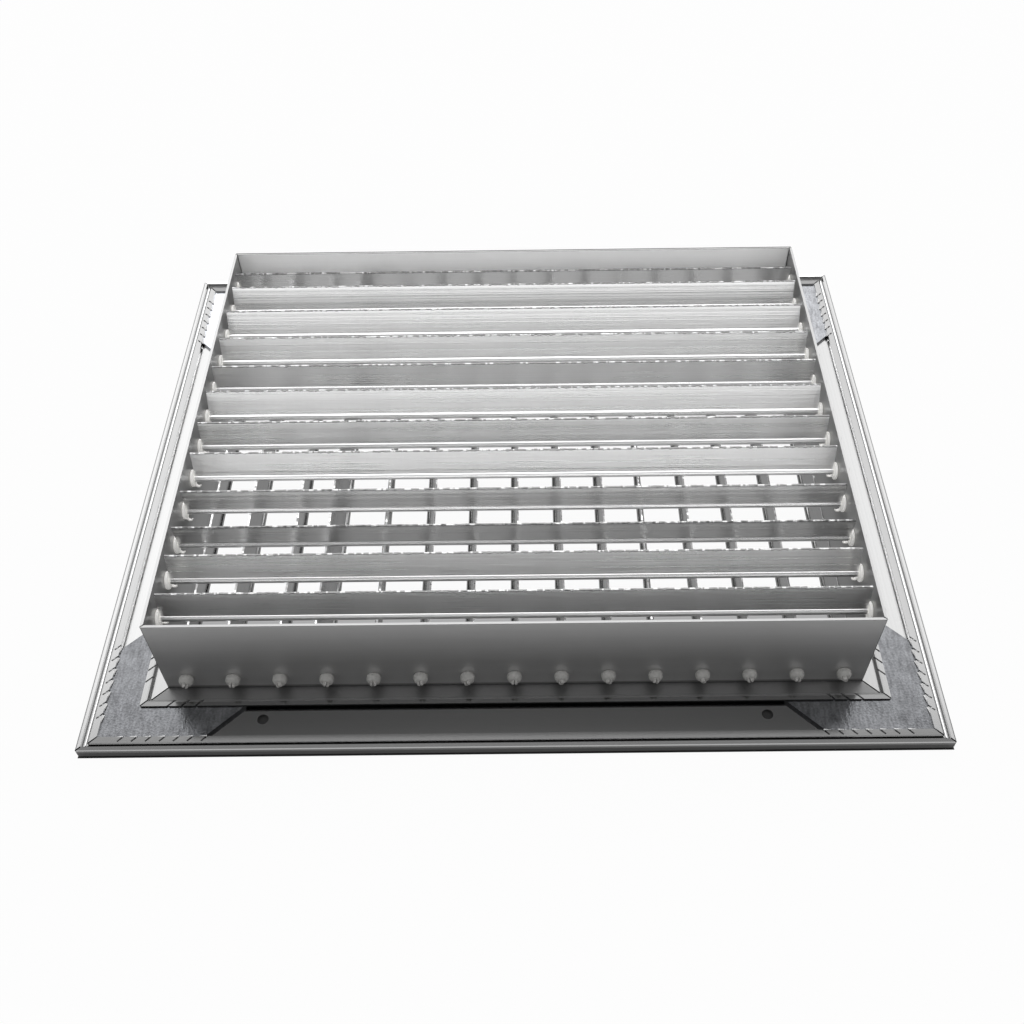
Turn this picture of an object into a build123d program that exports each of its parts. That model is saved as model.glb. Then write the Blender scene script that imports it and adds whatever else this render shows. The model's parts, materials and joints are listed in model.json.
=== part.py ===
"""Double deflection supply grille in mill-finish aluminium, lying face down with its neck up.

The room face of the flange lies on Z = 0 and the back of the grille, the duct side, points up.
X runs along the long side, Y away from the near side, and the origin is under the middle.
"""

import math
import os

from build123d import *

os.makedirs("parts", exist_ok=True)

# Neck and flange, outside sizes
neck_width = 300.0
neck_depth = 248.0
neck_height = 47.5
neck_wall = 1.2
flange_border = 32.0
mitre_gap = 0.6

# Flange section, widths from the outer edge inwards
rim_width = 1.9
shelf_width = 1.3
groove_width = 0.7
outer_web = 2.3
inner_web = 2.0
inner_groove = 0.8
inner_strip = 6.2
lip_overhang = 1.0
lip_chamfer = 0.3
face_chamfer = 0.8

# Flange section, heights
face_plate = 1.6
rim_height = 5.2
shelf_drop = 2.0
groove_drop = 3.0
lip_thickness = 0.8
strip_height = 2.6
inner_groove_depth = 0.8

# Corner plates that lie in the flange channel
corner_thickness = 1.6
corner_leg = 51.0
corner_side_clearance = 0.15
corner_top_clearance = 0.1

# Stakes punched into the channel lips to lock the corner plates
stake_count = 7
stake_start = 17.5
stake_pitch = 5.85
stake_reach = 1.9
inner_stake_count = 3
inner_stake_start = 35.5
inner_stake_pitch = 6.0
stake_width = 0.7

# Screw holes in the long sides of the flange
screw_spacing = 214.0
screw_inset = 16.5
screw_hole_radius = 2.45
screw_head_radius = 3.5

# Blades: a tapered web that stands on a round bead, with the pivot bore along the bead
bead_radius = 1.65
bead_sides = 10
bore_radius = 1.0
bore_sides = 6
blade_reach = 13.6
web_root = 1.3
web_tip = 0.7
blade_end_clearance = 0.3

# Blade rows: the rear row runs along X, the front row along Y
rear_margin = 14.0
rear_setback = 12.8
front_margin = 10.0
front_setback = 10.5
rear_tilts = (-18, 22, 26, 16, 9, 24, 13, 14, -3, -7, 13, 11)
front_tilts = (2, -9, 1, -22, 6, 15, 12, 8, 8, 6, -5, 0, 0, 1, 8)

# Nylon pivots: a bush clipped into the neck wall, with a stem that the blade turns on
stem_clearance = 0.06
stem_length = 8.0
stem_sides = 6
collar_radius = 4.0
collar_thickness = 1.3
collar_sides = 8
shank_width = 3.8
shank_clearance = 0.05
head_radius = 3.1
head_length = 5.0
head_sides = 6

# Worked out from the sizes above
flange_width = neck_width + 2 * flange_border
flange_depth = neck_depth + 2 * flange_border
channel_start = rim_width + shelf_width + groove_width + outer_web
channel_end = flange_border - inner_strip - inner_groove - inner_web
lip_under = face_plate + corner_thickness + corner_top_clearance
lip_top = lip_under + lip_thickness
rear_height = neck_height - rear_setback
blade_end_gap = neck_wall + collar_thickness + blade_end_clearance
rear_length = neck_width - 2 * blade_end_gap
front_length = neck_depth - 2 * blade_end_gap


def spread(count, span):
    """Evenly spaced places, centred on zero, from one end of the span to the other."""
    return [span * (n / (count - 1) - 0.5) for n in range(count)]


rear_places = spread(len(rear_tilts), neck_depth - 2 * rear_margin)
front_places = spread(len(front_tilts), neck_width - 2 * front_margin)

# Each side of the frame has a plane on its outer edge: x along the side, y up, z outwards
near_edge = Plane((0, -flange_depth / 2, 0), x_dir=(1, 0, 0), z_dir=(0, -1, 0))
far_edge = Plane((0, flange_depth / 2, 0), x_dir=(-1, 0, 0), z_dir=(0, 1, 0))
left_edge = Plane((-flange_width / 2, 0, 0), x_dir=(0, -1, 0), z_dir=(-1, 0, 0))
right_edge = Plane((flange_width / 2, 0, 0), x_dir=(0, 1, 0), z_dir=(1, 0, 0))


def section_points():
    """The one section of all four sides, as (distance in from the outer edge, height)."""
    shelf_start = rim_width
    groove_start = shelf_start + shelf_width
    lip_start = groove_start + groove_width
    outer_lip_end = channel_start + lip_overhang
    inner_lip_start = channel_end - lip_overhang
    inner_lip_end = channel_end + inner_web
    strip_start = inner_lip_end + inner_groove
    wall_end = flange_border + neck_wall
    return [
        (face_chamfer, 0),
        (0, face_chamfer),
        (0, rim_height - lip_chamfer),
        (lip_chamfer, rim_height),
        (shelf_start, rim_height),
        (shelf_start, rim_height - shelf_drop),
        (groove_start, rim_height - shelf_drop),
        (groove_start, rim_height - groove_drop),
        (lip_start, rim_height - groove_drop),
        (lip_start, lip_top - lip_chamfer),
        (lip_start + lip_chamfer, lip_top),
        (outer_lip_end, lip_top),
        (outer_lip_end, lip_under),
        (channel_start, lip_under),
        (channel_start, face_plate),
        (channel_end, face_plate),
        (channel_end, lip_under),
        (inner_lip_start, lip_under),
        (inner_lip_start, lip_top),
        (inner_lip_end - lip_chamfer, lip_top),
        (inner_lip_end, lip_top - lip_chamfer),
        (inner_lip_end, strip_height - inner_groove_depth),
        (strip_start, strip_height - inner_groove_depth),
        (strip_start, strip_height),
        (flange_border, strip_height),
        (flange_border, neck_height),
        (wall_end, neck_height),
        (wall_end, 0),
    ]


def stake_row(length, count, start, pitch, inset, reach):
    """Slanted slits near both ends of a lip, in the plane now being sketched."""
    for end in (-1, 1):
        with Locations(*[(end * (length / 2 - start - n * pitch), inset) for n in range(count)]):
            Rectangle(reach * math.sqrt(2), stake_width, rotation=-45 * end)


def frame_side(edge, length, pivot_places, pivot_height, screw_places):
    """One mitred extrusion: flange with its locking channel, and one wall of the neck."""
    inwards = -edge.z_dir
    with BuildPart() as side:
        with BuildSketch(Plane(edge.origin, x_dir=inwards, z_dir=edge.x_dir)):
            with BuildLine():
                Polyline(*section_points(), close=True)
            make_face()
        extrude(amount=length / 2, both=True)

        # Mitred ends, each held back by half the gap
        for end in (-1, 1):
            corner = edge.origin + edge.x_dir * end * (length / 2 - mitre_gap / math.sqrt(2))
            split(bisect_by=Plane(corner, z_dir=edge.z_dir - edge.x_dir * end), keep=Keep.TOP)

        # Square holes for the blade pivots, through the neck wall
        hole_width = shank_width + 2 * shank_clearance
        with BuildSketch(edge.offset(-flange_border)):
            with Locations(*[(place, pivot_height) for place in pivot_places]):
                Rectangle(hole_width, hole_width)
        extrude(amount=-neck_wall, mode=Mode.SUBTRACT)

        # Stakes: short slits in the outer lip, longer ones across the inner lip
        with BuildSketch(Plane(edge.origin + Vector(0, 0, lip_under), x_dir=edge.x_dir, z_dir=(0, 0, 1))):
            outer_lip_end = channel_start + lip_overhang
            stake_row(length, stake_count, stake_start, stake_pitch, outer_lip_end - stake_reach / 2,
                      stake_reach + stake_width)
            inner_lip_middle = channel_end + (inner_web - lip_overhang) / 2
            stake_row(length, inner_stake_count, inner_stake_start, inner_stake_pitch, inner_lip_middle,
                      inner_web + lip_overhang + stake_width)
        extrude(amount=lip_thickness, mode=Mode.SUBTRACT)

        # Screw holes, countersunk from the room face
        for place in screw_places:
            foot = edge.origin + edge.x_dir * place + inwards * screw_inset
            with Locations(Plane(foot, z_dir=(0, 0, -1))):
                CounterSinkHole(screw_hole_radius, screw_head_radius, depth=face_plate, counter_sink_angle=90)
    return side.part


def corner_plate(x_sign, y_sign):
    """An L-shaped plate in the channel of two sides, with its leg ends cut at 45 degrees."""
    outer = channel_start + corner_side_clearance
    inner = channel_end - corner_side_clearance
    leg_inner = corner_leg + inner - outer
    outline = [
        (outer, outer),
        (corner_leg, outer),
        (leg_inner, inner),
        (inner, inner),
        (inner, leg_inner),
        (outer, corner_leg),
    ]
    with BuildPart() as plate:
        with BuildSketch(Plane.XY.offset(face_plate)):
            with BuildLine():
                Polyline(
                    *[(x_sign * (flange_width / 2 - a), y_sign * (flange_depth / 2 - b)) for a, b in outline],
                    close=True,
                )
            make_face()
        extrude(amount=corner_thickness)
    return plate.part


def blade(pivot, axis, side, tilt, length):
    """One blade, turned by its tilt about the pivot axis from straight up towards the side."""
    lean = math.radians(tilt)
    reach = side * math.sin(lean) + Vector(0, 0, math.cos(lean))
    with BuildPart() as piece:
        with BuildSketch(Plane(pivot, x_dir=reach.cross(axis), z_dir=axis)):
            RegularPolygon(bead_radius, bead_sides)
            with BuildLine():
                Polyline(
                    (-web_root / 2, 0),
                    (web_root / 2, 0),
                    (web_tip / 2, blade_reach),
                    (-web_tip / 2, blade_reach),
                    close=True,
                )
            make_face()
            RegularPolygon(bore_radius, bore_sides, major_radius=False, mode=Mode.SUBTRACT)
        extrude(amount=length / 2, both=True)
    return piece.part


def pivot_row(edge, places, height):
    """The nylon pivots of one neck wall: stem, collar, shank and head, from inside out."""
    wall_inside = edge.offset(-flange_border - neck_wall)
    collar_face = wall_inside.offset(-collar_thickness)
    with BuildPart() as pivots:
        with BuildSketch(collar_face):
            with Locations(*[(place, height) for place in places]):
                RegularPolygon(bore_radius - stem_clearance, stem_sides)
        extrude(amount=-stem_length)
        with BuildSketch(collar_face):
            with Locations(*[(place, height) for place in places]):
                RegularPolygon(collar_radius, collar_sides)
        extrude(amount=collar_thickness)
        with BuildSketch(wall_inside):
            with Locations(*[(place, height) for place in places]):
                Rectangle(shank_width, shank_width)
        extrude(amount=neck_wall)
        with BuildSketch(wall_inside.offset(neck_wall)):
            with Locations(*[(place, height) for place in places]):
                RegularPolygon(head_radius, head_sides)
        extrude(amount=head_length)
    return pivots.part


def save(part, name):
    """Label one finished piece and write it."""
    part.label = name
    export_step(part, f"parts/{name}.step")


# Frame: the long sides carry the front pivots and the screws, the short sides the rear pivots
screws = (-screw_spacing / 2, screw_spacing / 2)
save(frame_side(near_edge, flange_width, front_places, front_setback, screws), "frame_side_near")
save(frame_side(far_edge, flange_width, front_places, front_setback, screws), "frame_side_far")
save(frame_side(left_edge, flange_depth, rear_places, rear_height, ()), "frame_side_left")
save(frame_side(right_edge, flange_depth, rear_places, rear_height, ()), "frame_side_right")

save(corner_plate(-1, -1), "corner_plate_near_left")
save(corner_plate(1, -1), "corner_plate_near_right")
save(corner_plate(-1, 1), "corner_plate_far_left")
save(corner_plate(1, 1), "corner_plate_far_right")

# Rear blades are counted from the far side, front blades from the left
x_axis = Vector(1, 0, 0)
y_axis = Vector(0, 1, 0)
for number, (place, tilt) in enumerate(zip(reversed(rear_places), rear_tilts), 1):
    save(blade(Vector(0, place, rear_height), x_axis, y_axis, tilt, rear_length), f"rear_blade_{number:02d}")
for number, (place, tilt) in enumerate(zip(front_places, front_tilts), 1):
    save(blade(Vector(place, 0, front_setback), y_axis, x_axis, tilt, front_length), f"front_blade_{number:02d}")

save(pivot_row(left_edge, rear_places, rear_height), "rear_pivots_left")
save(pivot_row(right_edge, rear_places, rear_height), "rear_pivots_right")
save(pivot_row(near_edge, front_places, front_setback), "front_pivots_near")
save(pivot_row(far_edge, front_places, front_setback), "front_pivots_far")
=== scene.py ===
# %% [markdown]
# # A double deflection supply grille
#
# The grille lies face down on a white table, so we look at its back. A flange of four mitred aluminium
# extrusions carries a neck that goes into the duct. Two crossed rows of blades hang in the neck on nylon
# pivots: the rear row steers the air up or down, and the front row under it steers it left or right.
#
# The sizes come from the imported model. Blender adds what a solid modeller leaves out: the die lines of the
# extrusions, the sheared edges of the blades, the split tips of the pivots and the grain of the castings.

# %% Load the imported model
import json
import math

import bmesh
import bpy
from mathutils import Matrix, Vector


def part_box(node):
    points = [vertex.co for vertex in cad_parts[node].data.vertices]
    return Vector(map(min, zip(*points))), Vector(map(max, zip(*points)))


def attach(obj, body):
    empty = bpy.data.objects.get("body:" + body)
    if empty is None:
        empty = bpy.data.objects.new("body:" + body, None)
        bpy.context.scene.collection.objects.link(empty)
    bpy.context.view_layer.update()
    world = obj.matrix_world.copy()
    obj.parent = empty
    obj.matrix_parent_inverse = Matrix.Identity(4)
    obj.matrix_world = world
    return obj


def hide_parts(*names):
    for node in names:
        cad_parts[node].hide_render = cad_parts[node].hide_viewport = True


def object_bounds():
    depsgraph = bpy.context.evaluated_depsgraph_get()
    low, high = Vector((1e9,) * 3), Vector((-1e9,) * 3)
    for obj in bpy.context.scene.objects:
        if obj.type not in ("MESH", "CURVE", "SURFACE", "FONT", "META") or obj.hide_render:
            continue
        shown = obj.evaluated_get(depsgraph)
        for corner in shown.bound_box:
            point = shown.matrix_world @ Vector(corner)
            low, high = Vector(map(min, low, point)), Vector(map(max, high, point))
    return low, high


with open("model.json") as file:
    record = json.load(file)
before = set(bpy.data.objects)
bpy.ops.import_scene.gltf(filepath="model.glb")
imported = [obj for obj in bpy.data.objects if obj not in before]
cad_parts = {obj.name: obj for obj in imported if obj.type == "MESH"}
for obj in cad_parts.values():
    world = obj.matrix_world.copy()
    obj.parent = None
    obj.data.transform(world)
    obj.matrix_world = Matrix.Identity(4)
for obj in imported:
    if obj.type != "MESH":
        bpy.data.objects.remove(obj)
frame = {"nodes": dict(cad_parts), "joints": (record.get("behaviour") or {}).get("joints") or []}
cad_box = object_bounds()
scene = bpy.context.scene
mm = 0.001

# %% [markdown]
# ## Arithmetic on sockets
#
# A node tree is easier to read as a formula than as a list of links. `Graph.node` adds any node: its
# settings are set first, then its sockets are filled with plain values or linked to other nodes. What it
# returns is a `Wire`, which stands for one output socket. Adding or multiplying wires adds the Math nodes
# that do it, so `0.3 + 0.1 * lines` is both a line of Python and a small piece of the tree.


# %% Wires and graphs
class Wire:
    """One output socket of a node, with the operators that the formulas here use."""

    def __init__(self, graph, socket):
        self.graph = graph
        self.socket = socket

    def out(self, name):
        """Another output of the same node."""
        return Wire(self.graph, self.socket.node.outputs[name])

    def math(self, operation, *others):
        return self.graph.math(operation, self, *others)

    def __add__(self, other):
        return self.math("ADD", other)

    def __sub__(self, other):
        return self.math("SUBTRACT", other)

    def __rsub__(self, other):
        return self.graph.math("SUBTRACT", other, self)

    def __mul__(self, other):
        return self.math("MULTIPLY", other)

    def __truediv__(self, other):
        return self.math("DIVIDE", other)

    def __gt__(self, other):
        return self.math("GREATER_THAN", other)

    def __lt__(self, other):
        return self.math("LESS_THAN", other)

    def __abs__(self):
        return self.math("ABSOLUTE")

    __radd__ = __add__
    __rmul__ = __mul__


class Graph:
    """A node tree of shaders or of geometry, filled through one method."""

    def __init__(self, tree):
        self.tree = tree
        tree.nodes.clear()

    def node(self, kind, settings=None, sockets=None, output=0):
        made = self.tree.nodes.new(kind)
        for name, value in (settings or {}).items():
            setattr(made, name, value)
        for key, value in (sockets or {}).items():
            if isinstance(value, Wire):
                self.tree.links.new(value.socket, made.inputs[key])
            else:
                made.inputs[key].default_value = value
        return Wire(self, made.outputs[output]) if made.outputs else None

    def math(self, operation, *values):
        return self.node("ShaderNodeMath", {"operation": operation}, dict(enumerate(values)))

    def blend(self, factor, low, high):
        """A colour between two colours."""
        sockets = {"Factor": factor, 6: low, 7: high}
        return self.node("ShaderNodeMix", {"data_type": "RGBA"}, sockets, output=2)

    def ramp(self, value, start, stop, low=0.0, high=1.0):
        """A soft step between two levels."""
        sockets = {0: value, 1: start, 2: stop, 3: low, 4: high}
        return self.node("ShaderNodeMapRange", {"interpolation_type": "SMOOTHSTEP"}, sockets)

    def position(self):
        """The place on the object, split into its X, Y and Z outputs."""
        place = self.node("ShaderNodeTexCoord", output="Object")
        return self.node("ShaderNodeSeparateXYZ", None, {"Vector": place})


def grey(level, tint=(1, 1, 1)):
    """A colour for a socket, from a brightness and a slight tint."""
    return (level * tint[0], level * tint[1], level * tint[2], 1)


print("wires ready")

# %% [markdown]
# ## Mill-finish aluminium
#
# Extruded aluminium that is neither painted nor anodised has a satin shine with fine lines, which the die
# draws along the whole length. Brushed-metal shaders often bend the highlight with an anisotropy setting,
# but that setting can't vary and is lost on export. Noise stretched far along one axis does the same job:
# as a bump it spreads reflections across the lines, and as a colour and a roughness it makes the lines
# visible.


# %% Noise drawn out along an axis
def streaks(graph, along, length, width, seed, detail=2.0):
    """Noise whose spots are that long along one axis and that wide across it."""
    scale = [1 / width] * 3
    scale["XYZ".index(along)] = 1 / length
    place = graph.node("ShaderNodeTexCoord", output="Object")
    moved = {"Vector": place, "Location": (seed, seed * 1.7, seed * 2.3), "Scale": scale}
    drawn = graph.node("ShaderNodeMapping", None, moved)
    return graph.node("ShaderNodeTexNoise", None, {"Vector": drawn, "Scale": 1.0, "Detail": detail})


def new_material(name):
    """An empty material's graph, and a function that gives it its surface and returns it."""
    material = bpy.data.materials.new(name)
    material.use_nodes = True
    graph = Graph(material.node_tree)

    def finish(**sockets):
        named = {key.replace("_", " ").title(): value for key, value in sockets.items()}
        surface = graph.node("ShaderNodeBsdfPrincipled", None, named)
        graph.node("ShaderNodeOutputMaterial", None, {"Surface": surface})
        return material

    return graph, finish


print("material helpers ready")

# %% Extruded metal
endless = 2000 * mm
# Colours for the marks: a dark grey for painted shade and the dark edge dashes, a light grey for painted
# light and painted highlights.
dark_grey, highlight_grey = grey(0.10), grey(0.95)
palest = 0.98


def mill_aluminium(name, along, seed, tone, satin, contrast, dies, marks=None):
    """Metal with die lines along one axis, and marks from a function: darkening (painted shade on the
    frame), lightening (painted light) and added satin.
    """
    graph, finish = new_material(name)
    hair = streaks(graph, along, endless, 0.3 * mm, seed, detail=0.0)
    fine = streaks(graph, along, endless, 0.5 * mm, seed + 2, detail=0.0)
    lines = streaks(graph, along, endless, 0.9 * mm, seed + 5)
    clouds = streaks(graph, along, 70 * mm, 25 * mm, seed + 9)
    shade = 0.4 * lines + 0.4 * fine + 0.2 * clouds
    low, high = grey(tone * (1 - contrast)), grey(min(tone * (1 + contrast), palest))
    color = graph.blend(0.5 + 2.4 * (shade - 0.5), low, high)
    rough = satin + contrast * (0.6 * (fine - 0.5) + 0.8 * (clouds - 0.5))
    if marks:
        darkening, lighter, duller = marks(graph, along)
        # The marks' darkening is painted shade on the frame and dark dashes on blade edges; their lightening
        # is painted light and painted highlight.
        color = graph.blend(lighter, graph.blend(darkening, color, dark_grey), highlight_grey)
        rough = rough + duller
    bump = {"Strength": 1.0, "Distance": 1 * mm, "Height": dies * (hair + 0.05 * lines)}
    return finish(
        base_color=color, metallic=1.0, roughness=rough, normal=graph.node("ShaderNodeBump", None, bump)
    )


print("die lines up to", endless, "m long")

# %% [markdown]
# ### Marks on the metal
#
# The marks follow the shape. On the frame they are painted shade and painted light in bands, because each
# fold of the section lies in shade or in light along its whole length, so a band is a range of distances
# from the outer edge. On a blade they sit on the sheared edge, which the blade's tree marks with an
# attribute: the edge is darker in dashes, and on the front blades the rest of it has a painted highlight.
# They could be painted by hand, but a rule stays right when a size changes.
#
# Each side has its own tone as well. The real sides are one metal: the tones stand for the way the light
# fell on each side of the real grille, which a plain studio sky doesn't give.


# %% Bands on the frame and dashes on the edges
lip_low, lip_high = 3.9 * mm, 4.3 * mm
flange_top = 3.6 * mm
wall_top = 47.2 * mm
neck_inset = 24 * mm


def section_shading(shade_bands, painted_light, lip, flange, top, dull):
    """Painted shade and light on the frame's section: bands (start and stop in mm, amount), amounts of
    painted shade for the lip, the flange and the wall's top, and added satin near the neck.
    """

    def marks(graph, along):
        place = graph.position()
        across, half = ("Y", cad_box[1].y) if along == "X" else ("X", cad_box[1].x)
        inset = half - abs(place.out(across))
        height = place.out("Z")

        def band(start, stop, amount):
            return (inset > start * mm) * (inset < stop * mm) * amount

        # Painted shade: darker on the lip, the flange, the wall's top and in the shade bands.
        painted_shade = (height > lip_low) * (height < lip_high) * lip + (height < flange_top) * flange
        painted_shade = painted_shade + (height > wall_top) * top
        for edges in shade_bands:
            painted_shade = painted_shade + band(*edges)
        lighter = 0.0
        # Painted light: lighter in its bands, below the lip.
        for edges in painted_light:
            lighter = lighter + band(*edges) * (height < lip_low)
        return painted_shade, lighter, (inset > neck_inset) * dull

    return marks


def edge_marks(dark, edge_darkening, painted_light):
    """A sheared edge in dashes: the share that is dark, how much darker the rest is, and how much painted
    highlight the rest gets.
    """

    def marks(graph, along):
        edge = graph.node("ShaderNodeAttribute", {"attribute_name": "edge"}, output="Fac") > 0.97
        dashes = streaks(graph, along, 3 * mm, 60 * mm, 71, detail=3.0) < dark
        darkening = edge * (edge_darkening + (0.85 - edge_darkening) * dashes)
        return darkening, edge * (1 - dashes) * painted_light, 0.0

    return marks


# Painted shade on the near side: the outer face, rim, shelf and groove, lip, flange, wall's top and the
# wall's inner face.
near_shading = section_shading(
    shade_bands=[(-1, 0.35, 0.5), (0.35, 1.9, 0.95), (1.9, 3.9, 0.6), (33, 40, 0.2)],
    painted_light=[],
    lip=0.85,
    flange=0.85,
    top=0.4,
    dull=0.27,
)
# Painted shade on the far side: the outer face, shelf and groove, flange strip, lip and wall's top.
far_shading = section_shading(
    shade_bands=[(-1, 0.35, 0.5), (1.9, 3.9, 0.5), (3.9, 32.6, 0.55)],
    painted_light=[],
    lip=0.3,
    flange=0.0,
    top=0.45,
    dull=0.3,
)
# Painted shade on the short sides' outer edge, groove line and lip; painted light on the shelf and in the
# channel under the lip.
end_shading = section_shading(
    shade_bands=[(-1, 0.6, 0.7), (1.75, 2.2, 0.45)],
    painted_light=[(2.2, 3.2, 0.9), (5.9, 7.25, 1.0)],
    lip=0.3,
    flange=0.0,
    top=0.0,
    dull=0.12,
)
# Rear edges: darker in dashes along the sheared edge. Front edges: dark dashes, and a painted highlight on
# the rest of the edge.
rear_edges = edge_marks(dark=0.54, edge_darkening=0.5, painted_light=0.0)
front_edges = edge_marks(dark=0.3, edge_darkening=0.0, painted_light=1.0)
print("marks for the long sides, the ends and two rows of blades")

# %% The aluminium finishes
long_side = {"along": "X", "contrast": 0.02}
short_side = {"along": "Y", "satin": 0.20, "contrast": 0.06, "dies": 0.002, "marks": end_shading}
side_finish = {
    "near": mill_aluminium(
        "near_side_aluminium", seed=3, tone=0.60, satin=0.15, dies=0.001, marks=near_shading, **long_side
    ),
    "far": mill_aluminium(
        "far_side_aluminium", seed=4, tone=0.97, satin=0.40, dies=0.002, marks=far_shading, **long_side
    ),
    "left": mill_aluminium("left_side_aluminium", seed=5, tone=0.41, **short_side),
    "right": mill_aluminium("right_side_aluminium", seed=6, tone=0.355, **short_side),
}
rear_finish = mill_aluminium(
    "rear_blade_aluminium",
    "X",
    seed=21,
    tone=0.95,
    satin=0.28,
    contrast=0.05,
    dies=0.10,
    marks=rear_edges,
)
# The front blades' low tone is painted shade: they are darker than the rear blades by colour alone.
front_shaded_finish = mill_aluminium(
    "front_blade_aluminium",
    "Y",
    seed=22,
    tone=0.45,
    satin=0.14,
    contrast=0.08,
    dies=0.03,
    marks=front_edges,
)
print("aluminium finishes", [m.name for m in (*side_finish.values(), rear_finish, front_shaded_finish)])

# %% [markdown]
# ## Cast corner plates
#
# The flat L-shaped plates that lock the mitres are cast, not extruded. Their skin is darker, slightly blue
# and rough, with a drag left by the die. Three noises make it: a fine one for the pits, a stretched one
# for the drag, and a broad one for patches of shine. Pits and drag are also bump, not modelled, because
# they are only hundredths of a millimetre deep. Like the sides, each plate has the tone that the light
# gave it.


# %% The casting's finish
def cast_metal(name, low, high):
    graph, finish = new_material(name)
    pits = streaks(graph, "X", 0.9 * mm, 0.9 * mm, 31, detail=5.0)
    drag = streaks(graph, "Y", 6.0 * mm, 1.2 * mm, 37, detail=4.0)
    patches = streaks(graph, "X", 9 * mm, 9 * mm, 41, detail=4.0)
    skin = 0.5 * pits + 0.5 * drag
    shade = 0.5 + 2.0 * (0.35 * pits + 0.35 * drag + 0.3 * patches - 0.5)
    bump = {"Strength": 1.0, "Distance": 0.10 * mm, "Height": skin}
    cool = (0.97, 0.99, 1.04)
    return finish(
        base_color=graph.blend(shade, grey(low, cool), grey(high, cool)),
        metallic=1.0,
        roughness=0.17 + 0.2 * (patches - 0.5),
        normal=graph.node("ShaderNodeBump", None, bump),
    )


casting = {
    "near_left": cast_metal("near_left_corner_casting", 0.03, 0.27),
    "near_right": cast_metal("near_right_corner_casting", 0.03, 0.25),
    "far_left": cast_metal("far_left_corner_casting", 0.30, 0.75),
    "far_right": cast_metal("far_right_corner_casting", 0.07, 0.42),
}
print("castings", [m.name for m in casting.values()])

# %% [markdown]
# ## Natural nylon
#
# The pivots are uncoloured nylon: off-white, dull, and a little see-through, so that light bleeds through
# their thin edges. Subsurface scattering over about a millimetre gives that glow. A faint emission adds
# painted light, most of it inside the neck, where it is dark. The heads outside the neck are painted
# darker, which is painted shade, so the colour changes at the walls.


# %% The nylon's finish
neck_half_x, neck_half_y = 149.5 * mm, 123.5 * mm


def natural_nylon(name):
    graph, finish = new_material(name)
    flow = streaks(graph, "Z", 2.5 * mm, 1.2 * mm, 51)
    place = graph.position()
    beyond_x = abs(place.out("X")) > neck_half_x
    beyond_y = abs(place.out("Y")) > neck_half_y
    outside = beyond_x.math("MAXIMUM", beyond_y)
    warm = (1, 0.99, 0.96)
    lighter = graph.blend(flow, grey(0.84, warm), grey(0.96, warm))
    # Painted shade: the heads outside the neck take a much darker colour.
    shaded_outside = graph.blend(flow, grey(0.20, warm), grey(0.38, warm))
    bump = {"Strength": 0.3, "Distance": 0.03 * mm, "Height": flow}
    return finish(
        base_color=graph.blend(outside, lighter, shaded_outside),
        # Painted light: the emission makes the nylon glow, strongly inside the neck and faintly outside.
        emission_color=graph.blend(outside, grey(0.9, warm), grey(0.12, warm)),
        emission_strength=0.25,
        roughness=0.36 + 0.16 * flow,
        subsurface_weight=0.3,
        subsurface_radius=(1, 1, 1),
        subsurface_scale=1.0 * mm,
        normal=graph.node("ShaderNodeBump", None, bump),
    )


nylon = natural_nylon("pivot_nylon")
print("nylon", nylon.name)

# %% [markdown]
# ## Dress the frame
#
# The four sides and four corner plates have their real shape already, so they keep their CAD meshes and
# only take a finish. The long sides were pressed along X and the short ones along Y, and the die lines
# follow.


# %% Finishes on the CAD pieces
def dress(node, material):
    """Gives a CAD node one material in place of its own."""
    slots = frame["nodes"][node].data.materials
    slots.clear()
    slots.append(material)


for side, finish in side_finish.items():
    dress(f"frame_side_{side}", finish)
plates = [name for name in frame["nodes"] if name.startswith("corner_plate")]
for plate in plates:
    dress(plate, casting[plate.removeprefix("corner_plate_")])
print("dressed 4 sides and", len(plates), "corner plates")

# %% [markdown]
# ## Blades
#
# A blade is one section pulled along a line: a round bead with a bore for the pivots, and a thin web that
# stands on it. That is a rule, so Geometry Nodes make it. A circle of points is bent into the outline by
# its point numbers: most of them stay on the bead, and the last two become the corners of the web's free
# edge. Curve to Mesh sweeps the outline and the bore, and Fill Curve closes the ends between the two.
#
# The free edge was sheared, which left it ragged and rolled over on one side. A one-dimensional noise
# along the blade pulls each corner of the edge down and sideways by fractions of a millimetre, differently
# on every blade. Before that, the tree stores the edge as an attribute, so that the finish can find it.


# %% A tree with named inputs
def new_tree(name, inputs):
    """A geometry tree, its graph, and its named inputs as wires."""
    tree = bpy.data.node_groups.new(name, "GeometryNodeTree")
    graph = Graph(tree)
    tree.interface.new_socket("Geometry", in_out="INPUT", socket_type="NodeSocketGeometry")
    for label, kind in inputs.items():
        tree.interface.new_socket(label, in_out="INPUT", socket_type=f"NodeSocket{kind}")
    tree.interface.new_socket("Geometry", in_out="OUTPUT", socket_type="NodeSocketGeometry")
    entry = graph.node("NodeGroupInput")
    return graph, {label: entry.out(label) for label in inputs}


def run_tree(tree, name, values):
    """Runs a tree on an empty mesh with those inputs, and keeps the result as a plain mesh."""
    carrier = bpy.data.objects.new(name, bpy.data.meshes.new(name))
    scene.collection.objects.link(carrier)
    modifier = carrier.modifiers.new("shape", "NODES")
    modifier.node_group = tree
    for item in tree.interface.items_tree:
        if item.in_out == "INPUT" and item.name in values:
            modifier[item.identifier] = values[item.name]
    evaluated = carrier.evaluated_get(bpy.context.evaluated_depsgraph_get())
    mesh = bpy.data.meshes.new_from_object(evaluated)
    bpy.data.objects.remove(carrier)
    mesh.name = name
    mesh.shade_smooth()
    mesh.set_sharp_from_angle(angle=math.radians(40))
    return mesh


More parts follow.
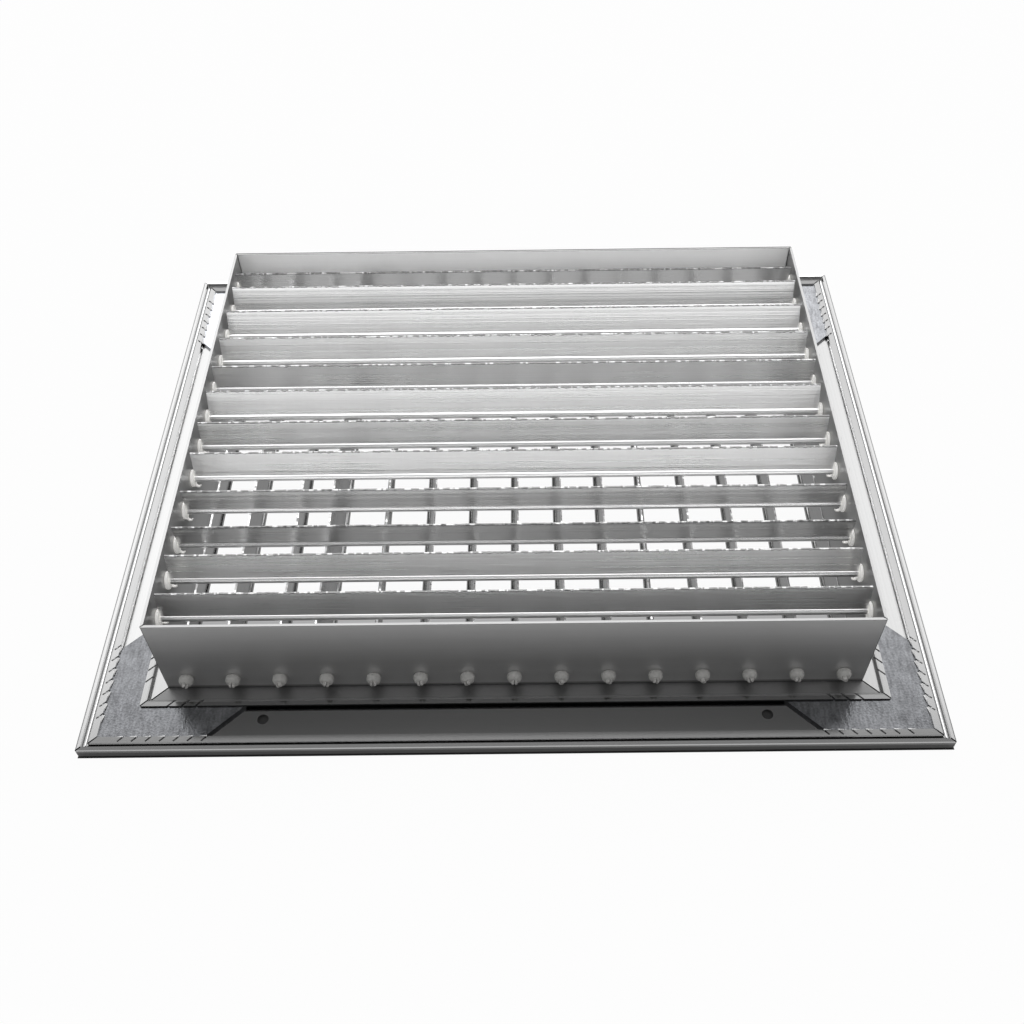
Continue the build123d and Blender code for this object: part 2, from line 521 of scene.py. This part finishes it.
def add_piece(name, mesh, body, slot, *nodes):
    """Puts a finished mesh on a body, in place of the CAD nodes that it stands for."""
    piece = bpy.data.objects.new(name, mesh)
    scene.collection.objects.link(piece)
    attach(piece, body)
    if nodes:
        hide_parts(*nodes)
    return piece


print("tree helpers ready")


# %% The blade tree
def blade_tree():
    inputs = {
        "Length": "Float",
        "Reach": "Float",
        "Bead Radius": "Float",
        "Bore Radius": "Float",
        "Web Root": "Float",
        "Web Tip": "Float",
        "Step": "Float",
        "Burr": "Float",
        "Rollover": "Float",
        "Seed": "Float",
        "Finish": "Material",
    }
    graph, size = new_tree("swept_blade", inputs)
    join = "GeometryNodeJoinGeometry"

    # The outline, bent from a circle of points by their numbers
    bead_points = 14
    number = graph.node("GeometryNodeInputIndex")
    opening = (size["Web Root"] / 2 / size["Bead Radius"]).math("ARCSINE")
    turn = math.pi / 2 + opening + number * (2 * math.pi - 2 * opening) / (bead_points - 1)
    on_tip = number > bead_points - 0.5
    tip_side = (number > bead_points + 0.5) * -2 + 1
    bead_x = turn.math("COSINE") * size["Bead Radius"]
    bead_y = turn.math("SINE") * size["Bead Radius"]
    outline_x = bead_x + on_tip * (tip_side * size["Web Tip"] / 2 - bead_x)
    outline_y = bead_y + on_tip * (size["Reach"] - bead_y)
    ring = graph.node("GeometryNodeCurvePrimitiveCircle", None, {"Resolution": bead_points + 2})
    bent = graph.node("ShaderNodeCombineXYZ", None, {"X": outline_x, "Y": outline_y})
    outline = graph.node("GeometryNodeSetPosition", None, {"Geometry": ring, "Position": bent})
    bore = graph.node(
        "GeometryNodeCurvePrimitiveCircle", None, {"Resolution": 12, "Radius": size["Bore Radius"]}
    )

    # The sweep, cut into steps so that the edge can be ragged
    half = size["Length"] / 2
    low_end = graph.node("ShaderNodeCombineXYZ", None, {"Z": half * -1})
    high_end = graph.node("ShaderNodeCombineXYZ", None, {"Z": half})
    line = graph.node("GeometryNodeCurvePrimitiveLine", None, {"Start": low_end, "End": high_end})
    stepped = {"Curve": line, "Count": size["Length"] / size["Step"]}
    path = graph.node("GeometryNodeResampleCurve", None, stepped)
    skin = graph.node("GeometryNodeCurveToMesh", None, {"Curve": path, "Profile Curve": outline})
    tube = graph.node("GeometryNodeCurveToMesh", None, {"Curve": line, "Profile Curve": bore})
    tube = graph.node("GeometryNodeFlipFaces", None, {"Mesh": tube})

    # The two ends, filled between outline and bore
    section = graph.node(join, None, {0: outline})
    graph.tree.links.new(bore.socket, section.socket.node.inputs[0])
    face = graph.node("GeometryNodeFillCurve", None, {"Curve": section})
    high_face = graph.node("GeometryNodeTransform", None, {"Geometry": face, "Translation": high_end})
    low_face = graph.node("GeometryNodeTransform", None, {"Geometry": face, "Translation": low_end})
    low_face = graph.node("GeometryNodeFlipFaces", None, {"Mesh": low_face})
    whole = graph.node(join, None, {0: skin})
    for shell in (tube, high_face, low_face):
        graph.tree.links.new(shell.socket, whole.socket.node.inputs[0])
    welded = graph.node("GeometryNodeMergeByDistance", None, {"Geometry": whole, "Distance": 0.005 * mm})

    # The ragged free edge: fine teeth everywhere, and a few deeper chips
    place = graph.node("ShaderNodeSeparateXYZ", None, {"Vector": graph.node("GeometryNodeInputPosition")})
    across, up, along = (place.out(axis) for axis in "XYZ")
    side = across.math("SIGN") * 3.7 + size["Seed"] * 41.3

    def edge_noise(period, shift):
        sockets = {"W": along / period + side + shift, "Scale": 1.0, "Detail": 1.0}
        return graph.node("ShaderNodeTexNoise", {"noise_dimensions": "1D"}, sockets)

    teeth = (edge_noise(1.9 * mm, 0) - 0.35).math("MAXIMUM", 0) * 1.6
    chips = (edge_noise(11 * mm, 90) - 0.64).math("MAXIMUM", 0) * 5
    fall = (teeth + chips) * size["Burr"] * -1 - (across < 0) * size["Rollover"] * (0.6 + teeth)
    lean = (edge_noise(4 * mm, 50) - 0.5) * size["Burr"] * 0.6
    shift = graph.node("ShaderNodeCombineXYZ", None, {"X": lean, "Y": fall})
    tip = up > size["Reach"] - 0.05 * mm
    named = {"Geometry": welded, "Name": "edge", "Value": tip}
    marked = graph.node("GeometryNodeStoreNamedAttribute", None, named)
    ragged = {"Geometry": marked, "Selection": tip, "Offset": shift}
    worn = graph.node("GeometryNodeSetPosition", None, ragged)

    real = graph.node("GeometryNodeRealizeInstances", None, {"Geometry": worn})
    done = graph.node("GeometryNodeSetMaterial", None, {"Geometry": real, "Material": size["Finish"]})
    graph.node("NodeGroupOutput", None, {0: done})
    return graph.tree


swept_blade = blade_tree()
print("blade tree", len(swept_blade.nodes), "nodes")

# %% [markdown]
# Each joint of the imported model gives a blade's pivot and axis, and the CAD blade gives its length and its
# lean. The tree makes the blade along Z with its web up Y, and one matrix stands it in its place.

# %% The blades in their places
bead_radius = 1.65 * mm
bore_radius = 1.0 * mm
web_root = 1.3 * mm
web_tip = 0.7 * mm
blade_step = 0.6 * mm
burr = 0.25 * mm
rollover = 0.25 * mm


def blade_place(node, joint):
    """A blade's length, its web's reach from the pivot, and the matrix that stands it in its place."""
    axis = Vector([abs(c) for c in joint["axis"]])
    pivot = Vector(joint["pos_m"])
    arms = [v.co - pivot for v in frame["nodes"][node].data.vertices]
    length = 2 * max(arm.dot(axis) for arm in arms)
    arms = [arm - axis * arm.dot(axis) for arm in arms]
    far = max(arm.length for arm in arms)
    tip = sum((arm for arm in arms if arm.length > far - 0.1 * mm), Vector())
    up = tip.normalized()
    reach = max(arm.dot(up) for arm in arms)
    turn = Matrix((up.cross(axis), up, axis)).transposed()
    return length, reach, Matrix.Translation(pivot) @ turn.to_4x4()


for count, joint in enumerate(frame["joints"]):
    node = joint["child"]
    length, reach, place = blade_place(node, joint)
    sizes = {
        "Length": length,
        "Reach": reach,
        "Bead Radius": bead_radius,
        "Bore Radius": bore_radius,
        "Web Root": web_root,
        "Web Tip": web_tip,
        "Step": blade_step,
        "Burr": burr,
        "Rollover": rollover,
        "Seed": float(count + 1),
        "Finish": rear_finish if node.startswith("rear") else front_shaded_finish,
    }
    mesh = run_tree(swept_blade, f"{node}_swept", sizes)
    mesh.transform(place)
    add_piece(f"{node}_swept", mesh, node, "blade_aluminium", node)
print("blades", count + 1, "of", len(mesh.polygons), "faces, last reach", round(reach / mm, 2), "mm")

# %% [markdown]
# ## Nylon pivots
#
# Every blade turns on two nylon pivots. From inside out, a pivot is a round stem in the bead's bore, a
# disc that spaces the blade from the wall, and a plug that is pushed through a hole in the wall and holds
# behind it. The plug ends in two prongs, and a small tail hangs under the disc. One pivot is turned and
# swept in mesh code, and Geometry Nodes repeat it along each wall, each with its own turn about its axis,
# as they sit on the real grille.


# %% One pivot
def turned(profile, sides, start=0.0, stop=2 * math.pi):
    """Vertices and faces of a profile of (radius, height) pairs turned about Z, whole or in part."""
    whole = stop - start > 2 * math.pi - 0.001
    steps = sides if whole else sides + 1
    angles = [start + (stop - start) * n / sides for n in range(steps)]
    points = [(r * math.cos(a), r * math.sin(a), h) for r, h in profile for a in angles]
    faces = []
    for row in range(len(profile) - 1):
        here, above = row * steps, (row + 1) * steps
        for n in range(sides if whole else steps - 1):
            m = (n + 1) % steps
            faces.append([here + n, here + m, above + m, above + n])
        if not whole:
            faces.append([here + steps - 1, here, above, above + steps - 1])
    faces.append(list(range(steps))[::-1])
    faces.append([(len(profile) - 1) * steps + n for n in range(steps)])
    return points, faces


def swept_strip(path, width, thickness):
    """A flat strip that narrows along (height, depth) points: the little tail under the disc."""
    points, faces = [], []
    for n, (y, z) in enumerate(path):
        before, after = path[max(n - 1, 0)], path[min(n + 1, len(path) - 1)]
        run = Vector((after[0] - before[0], after[1] - before[1])).normalized()
        taper = 1 - 0.45 * n / (len(path) - 1)
        for x, side in ((-1, -1), (1, -1), (1, 1), (-1, 1)):
            out = side * thickness / 2 * taper
            points.append((x * width / 2 * taper, y - run.y * out, z + run.x * out))
        if n:
            a = 4 * n
            faces.extend([[a - 4 + k, a - 4 + (k + 1) % 4, a + (k + 1) % 4, a + k] for k in range(4)])
    faces.append([3, 2, 1, 0])
    faces.append([len(points) - 4 + k for k in range(4)])
    return points, faces


def pivot_mesh():
    stem = [(0.7, -9.3), (0.94, -9.0), (0.94, -1.25)]
    disc = [(3.5, -1.3), (3.88, -1.18), (4.0, -0.95), (4.0, -0.3), (3.85, -0.08), (3.5, 0)]
    plug = [(1.8, -0.1), (1.8, 1.22), (2.7, 1.24), (3.05, 1.6)]
    plug += [(3.1, 2.3), (3.0, 3.5), (2.55, 4.25), (1.5, 4.7)]
    fork = [(1.35, 4.2), (1.45, 5.2), (1.3, 5.9), (0.9, 6.2)]
    hook = [(-3.4, -0.65), (-4.6, -0.95), (-5.2, -1.75), (-5.15, -2.65), (-4.55, -3.1)]
    slot = 0.7
    points, faces = [], []

    def take(shape, shift=0.0):
        first = len(points)
        points.extend(((x + shift) * mm, y * mm, z * mm) for x, y, z in shape[0])
        faces.extend([first + n for n in face] for face in shape[1])

    take(turned(stem, sides=12))
    take(turned(disc, sides=32))
    take(turned(plug, sides=20))
    prong = [(r - slot / 2, h) for r, h in fork]
    take(turned(prong, 8, -math.pi / 2, math.pi / 2), slot / 2)
    take(turned(prong, 8, math.pi / 2, 3 * math.pi / 2), -slot / 2)
    take(swept_strip(hook, width=1.5, thickness=0.75))
    mesh = bpy.data.meshes.new("pivot")
    mesh.from_pydata(points, [], faces)
    mesh.validate()
    mesh.shade_smooth()
    mesh.set_sharp_from_angle(angle=math.radians(50))
    print("pivot", len(mesh.polygons), "faces")
    return mesh


pivot = bpy.data.objects.new("pivot_master", pivot_mesh())


# %% The row tree
def row_tree():
    inputs = {
        "Piece": "Object",
        "Count": "Int",
        "First": "Vector",
        "Pitch": "Vector",
        "Facing": "Vector",
        "Turn": "Float",
        "Seed": "Int",
        "Finish": "Material",
    }
    graph, given = new_tree("row_on_wall", inputs)
    start = {"Count": given["Count"], "Start Location": given["First"], "Offset": given["Pitch"]}
    points = graph.node("GeometryNodeMeshLine", None, start)
    shape = graph.node("GeometryNodeObjectInfo", None, {"Object": given["Piece"]}, output="Geometry")
    random = {2: given["Turn"] * -1, 3: given["Turn"], "Seed": given["Seed"]}
    angle = graph.node("FunctionNodeRandomValue", None, random, output=1)
    spin = graph.node("FunctionNodeAxisAngleToRotation", None, {"Axis": (0, 0, 1), "Angle": angle})
    facing = graph.node("FunctionNodeEulerToRotation", None, {"Euler": given["Facing"]})
    local = {"Rotation": facing, "Rotate By": spin}
    rotation = graph.node("FunctionNodeRotateRotation", {"rotation_space": "LOCAL"}, local)
    placed = {"Points": points, "Instance": shape, "Rotation": rotation}
    row = graph.node("GeometryNodeInstanceOnPoints", None, placed)
    real = graph.node("GeometryNodeRealizeInstances", None, {"Geometry": row})
    done = graph.node("GeometryNodeSetMaterial", None, {"Geometry": real, "Material": given["Finish"]})
    graph.node("NodeGroupOutput", None, {0: done})
    return graph.tree


row_on_wall = row_tree()
print("row tree", len(row_on_wall.nodes), "nodes")

# %% The rows of pivots
neck_wall = 1.2 * mm
rear_joints = [joint for joint in frame["joints"] if joint["child"].startswith("rear")]
front_joints = [joint for joint in frame["joints"] if joint["child"].startswith("front")]
walls = {
    "rear_pivots_left": (rear_joints, "left", -90),
    "rear_pivots_right": (rear_joints, "right", 90),
    "front_pivots_near": (front_joints, "near", 0),
    "front_pivots_far": (front_joints, "far", 180),
}


def wall_inside(side):
    """The inner face of a neck wall, as a coordinate on X or Y."""
    low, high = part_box(f"frame_side_{side}")
    return {"left": high.x, "right": low.x, "near": high.y, "far": low.y}[side]


for seed, (node, (joints, side, heading)) in enumerate(walls.items()):
    first = Vector(joints[0]["pos_m"])
    first["xy".index("x" if side in ("left", "right") else "y")] = wall_inside(side)
    values = {
        "Piece": pivot,
        "Count": len(joints),
        "First": first,
        "Pitch": Vector(joints[1]["pos_m"]) - Vector(joints[0]["pos_m"]),
        "Facing": (math.radians(90), 0, math.radians(heading)),
        "Turn": math.radians(60 if joints is front_joints else 20),
        "Seed": seed,
        "Finish": nylon,
    }
    mesh = run_tree(row_on_wall, f"{node}_nylon", values)
    add_piece(f"{node}_nylon", mesh, "frame", "pivot_nylon", node)
    print(node, len(joints), "pivots on the", side, "wall")

# %% [markdown]
# ## Staked lips
#
# After a corner plate is slid into the channel, a punch cuts slanting slits in the channel's outer lip,
# and the metal beside each slit is bent down onto the plate. The slits are in the CAD model. What the
# punch pushes out is a small sharp tongue, too small for a solid worth keeping, so it is added here: one
# wedge for each hand, repeated by the same row tree along both ends of every side.


# %% Tongues of bent lip
slit_start, slit_pitch, slit_count = 18.45 * mm, 5.85 * mm, 7
lip_edge, lip_top, plate_top = 7.2 * mm, 4.1 * mm, 3.2 * mm
tongue_from, tongue_to, tongue_reach = 0.45 * mm, 4.3 * mm, 0.85 * mm


def tongue_mesh(hand):
    """A wedge from the lip's edge (along X) down onto the plate (towards Y), for one hand of slit."""
    near, far, root = hand * tongue_from, hand * tongue_to, -0.1 * mm
    low, fold = plate_top + 0.03 * mm, plate_top + 0.2 * mm
    points = [(near, root, lip_top), (far, root, lip_top), (near, tongue_reach, fold)]
    points += [(near, root, low), (far, root, low), (near, tongue_reach, low)]
    faces = [(0, 1, 2), (5, 4, 3), (0, 2, 5, 3), (2, 1, 4, 5), (1, 0, 3, 4)]
    if hand < 0:
        faces = [face[::-1] for face in faces]
    mesh = bpy.data.meshes.new("tongue")
    mesh.from_pydata(points, [], faces)
    return mesh


def joined(name, meshes):
    """One mesh of several, which share a material."""
    whole = bmesh.new()
    for mesh in meshes:
        whole.from_mesh(mesh)
    result = bpy.data.meshes.new(name)
    whole.to_mesh(result)
    whole.free()
    result.materials.append(meshes[0].materials[0])
    return result


tongues = {hand: bpy.data.objects.new(f"tongue_master_{hand}", tongue_mesh(hand)) for hand in (-1, 1)}
half = (cad_box[1] - cad_box[0]) / 2
headings = {"near": 0, "far": 180, "left": -90, "right": 90}
for side, heading in headings.items():
    along, across = (half.x, half.y) if side in ("near", "far") else (half.y, half.x)
    turn = Matrix.Rotation(math.radians(heading), 3, "Z")
    rows = []
    for hand, master in tongues.items():
        values = {
            "Piece": master,
            "Count": slit_count,
            "First": turn @ Vector((hand * (along - slit_start), lip_edge - across, 0)),
            "Pitch": turn @ Vector((-hand * slit_pitch, 0, 0)),
            "Facing": (0, 0, math.radians(heading)),
            "Turn": 0.0,
            "Seed": 0,
            "Finish": side_finish[side],
        }
        rows.append(run_tree(row_on_wall, "tongues", values))
    add_piece(f"lip_tongues_{side}", joined("lip_tongues", rows), "frame", "frame_aluminium")
print("tongues", len(headings) * len(tongues) * slit_count)

# %% [markdown]
# ## Mitre seams
#
# At the corners of the neck two sawn walls meet, and only a fine dark line shows. The CAD mitres stand a
# little apart so that the solids stay separate, and light would come through. A thin upright strip of dull
# metal in each mitre, just inside both faces of the walls, closes it and leaves the line.


# %% Seams in the neck's corners
seam_width, seam_sink, seam_low, seam_high = 0.6 * mm, 0.15 * mm, 0.3 * mm, 47.3 * mm
seam_finish = mill_aluminium(
    "mitre_seam_aluminium", "X", seed=7, tone=0.25, satin=0.40, contrast=0.06, dies=0.002
)


def seam_mesh():
    """Four strips, each across the thickness of the walls at one corner of the neck."""
    shape = bmesh.new()
    corner_x = wall_inside("right") + neck_wall
    corner_y = wall_inside("far") + neck_wall
    for x_hand, y_hand in ((-1, -1), (1, -1), (1, 1), (-1, 1)):
        across = Vector((y_hand, -x_hand, 0)).normalized() * seam_width / 2
        posts = []
        for sink in (seam_sink, neck_wall - seam_sink):
            foot = Vector((x_hand * (corner_x - sink), y_hand * (corner_y - sink), 0))
            posts += [foot - across, foot + across]
        heights = (Vector((0, 0, seam_low)), Vector((0, 0, seam_high)))
        corners = [shape.verts.new(post + height) for post in posts for height in heights]
        bmesh.ops.convex_hull(shape, input=corners)
    bmesh.ops.recalc_face_normals(shape, faces=shape.faces)
    mesh = bpy.data.meshes.new("mitre_seams")
    shape.to_mesh(mesh)
    shape.free()
    mesh.materials.append(seam_finish)
    return mesh


seams = add_piece("mitre_seams", seam_mesh(), "frame", "frame_aluminium")
print("seams", len(seams.data.polygons), "faces")

# %% [markdown]
# ## Table, light and camera
#
# The photograph is lit from behind and above by one broad soft light, and the side of the camera is dim.
# Metal shows what it faces: flat tops face the light and go white, while the near wall faces the dim side
# and stays dark. So the world is a plain gradient with a few soft steps, and one softbox does the rest. To
# the camera the sky is white, from any side.
#
# The table is white to the camera too, and dimmer to reflections, because the metal in the photograph
# mirrors a darker one. It keeps the grille's shadow: deep under the flange, which darkens the screw holes
# and the mitres, and a grey one in the neck behind the near wall.


# %% The white table
table_half = 4.0
table_gap = 0.2 * mm
table_white, table_pale, table_shade = 0.96, grey(0.5), grey(0.04)
# The mirrored table's brightness, lower at the near side, is painted shade; the shadow level is the grey of
# the painted shadow behind the near wall.
mirror_near, mirror_far = 0.17, 0.40
shadow_level = 0.35


def white_table():
    low, high, down = -table_half, table_half, -table_gap
    corners = [(low, low, down), (high, low, down), (high, high, down), (low, high, down)]
    mesh = bpy.data.meshes.new("table")
    mesh.from_pydata(corners, [], [(0, 1, 2, 3)])
    table = bpy.data.objects.new("table", mesh)
    scene.collection.objects.link(table)
    material = bpy.data.materials.new("white_table")
    material.use_nodes = True
    graph = Graph(material.node_tree)
    path = graph.node("ShaderNodeLightPath", output="Is Camera Ray")
    mirrored = path.out("Is Glossy Ray").math("MAXIMUM", path.out("Is Transmission Ray"))
    place = graph.position()
    x, y = place.out("X"), place.out("Y")
    # Painted shadow, placed by position: under the grille's outline the table's own colour is near black,
    # under the flange it gives the camera no white, and in the neck behind the near wall only a grey.
    covered = (abs(x) < cad_box[1].x + 0.3 * mm) * (abs(y) < cad_box[1].y + 0.4 * mm)
    opened = (abs(x) < wall_inside("right") + table_gap) * (abs(y) < wall_inside("far") + table_gap)
    # Painted shade in reflections: the table that the metal mirrors is darker towards the near side.
    mirror = graph.ramp(y, -105 * mm, -60 * mm, mirror_near, mirror_far)
    shadow_ramp = graph.ramp(y, -92 * mm, -70 * mm, shadow_level, 1.0)
    seen = table_white * path * (1 - covered * (1 - opened * shadow_ramp))
    tone = graph.blend(covered, table_pale, table_shade)
    matte = graph.node("ShaderNodeBsdfDiffuse", None, {"Color": tone})
    white = graph.node("ShaderNodeEmission", None, {"Color": grey(1.0), "Strength": 1.0})
    mixed = {0: seen.math("MAXIMUM", mirror * mirrored), 1: matte, 2: white}
    surface = graph.node("ShaderNodeMixShader", None, mixed)
    graph.node("ShaderNodeOutputMaterial", None, {"Surface": surface})
    mesh.materials.append(material)
    return table


print("table", white_table().name)

# %% The sky
dim_side = 0.12
low_front = 1.16
bright_side = 1.04
overhead = 1.6
world = bpy.data.worlds.new("studio")
scene.world = world
world.use_nodes = True
sky = Graph(world.node_tree)
direction = sky.node("ShaderNodeTexCoord", output="Generated")
compass = sky.node("ShaderNodeSeparateXYZ", None, {"Vector": direction})

# Where the sky is bright, by the direction that it lies in
behind = sky.ramp(compass.out("Y"), -0.45, 0.15)
low = 1 - sky.ramp(compass.out("Z"), 0.52, 0.72)
top = sky.ramp(compass.out("Z"), 0.88, 0.97)
ahead = 1 - sky.ramp(abs(compass.out("X")), 0.40, 0.58)
front = dim_side + (low_front - dim_side) * low * ahead
level = front * (1 - behind) + bright_side * behind + overhead * top
viewed = sky.node("ShaderNodeLightPath", output="Is Camera Ray")
strength = {"Color": grey(1.0), "Strength": level + viewed * (1 - level)}
sky.node("ShaderNodeOutputWorld", None, {"Surface": sky.node("ShaderNodeBackground", None, strength)})
print("sky from", dim_side, "to", bright_side, "and", overhead, "more overhead")


# %% The softbox
def softbox(name, place, target, width, height, watts):
    """A rectangular lamp that points at a target and stays out of the picture."""
    lamp = bpy.data.lights.new(name, "AREA")
    lamp.shape = "RECTANGLE"
    lamp.size, lamp.size_y, lamp.energy = width, height, watts
    body = bpy.data.objects.new(name, lamp)
    scene.collection.objects.link(body)
    body.location = place
    body.rotation_euler = (Vector(target) - Vector(place)).to_track_quat("-Z", "Y").to_euler()
    body.visible_camera = False
    return body


lamp = softbox("softbox_behind", place=(0, 1.2, 1.25), target=(0, 0, 0), width=3.0, height=1.1, watts=13.5)
print("lamp", lamp.name, lamp.data.energy, "W")

# %% [markdown]
# The camera stands where the photograph was taken from: its place, turn and lens were solved from the
# corners of the flange and of the neck in the photograph.

# %% The camera
picture = 1024
focal_pixels = 1113.25
middle_x, middle_y = 522.2, 568.2
camera_place = Vector((6.46, -384.77, 409.64)) * mm
yaw, pitch, roll = (math.radians(a) for a in (-0.519, 51.397, -1.029))

forward = Vector((math.sin(yaw) * math.cos(pitch), math.cos(yaw) * math.cos(pitch), -math.sin(pitch)))
level_right = Vector((math.cos(yaw), -math.sin(yaw), 0))
level_up = level_right.cross(forward)
right = math.cos(roll) * level_right + math.sin(roll) * level_up
up = math.cos(roll) * level_up - math.sin(roll) * level_right
lens = bpy.data.cameras.new("camera")
lens.sensor_width = 36
lens.lens = focal_pixels * lens.sensor_width / picture
lens.shift_x = (picture / 2 - middle_x) / picture
lens.shift_y = (middle_y - picture / 2) / picture
lens.clip_start, lens.clip_end = 0.01, 50
camera = bpy.data.objects.new("camera", lens)
scene.collection.objects.link(camera)
camera.matrix_world = Matrix.Translation(camera_place) @ Matrix((right, up, -forward)).transposed().to_4x4()
scene.camera = camera
scene.view_settings.view_transform = "Standard"
print("camera", [round(c / mm) for c in camera_place], "lens", round(lens.lens, 2))
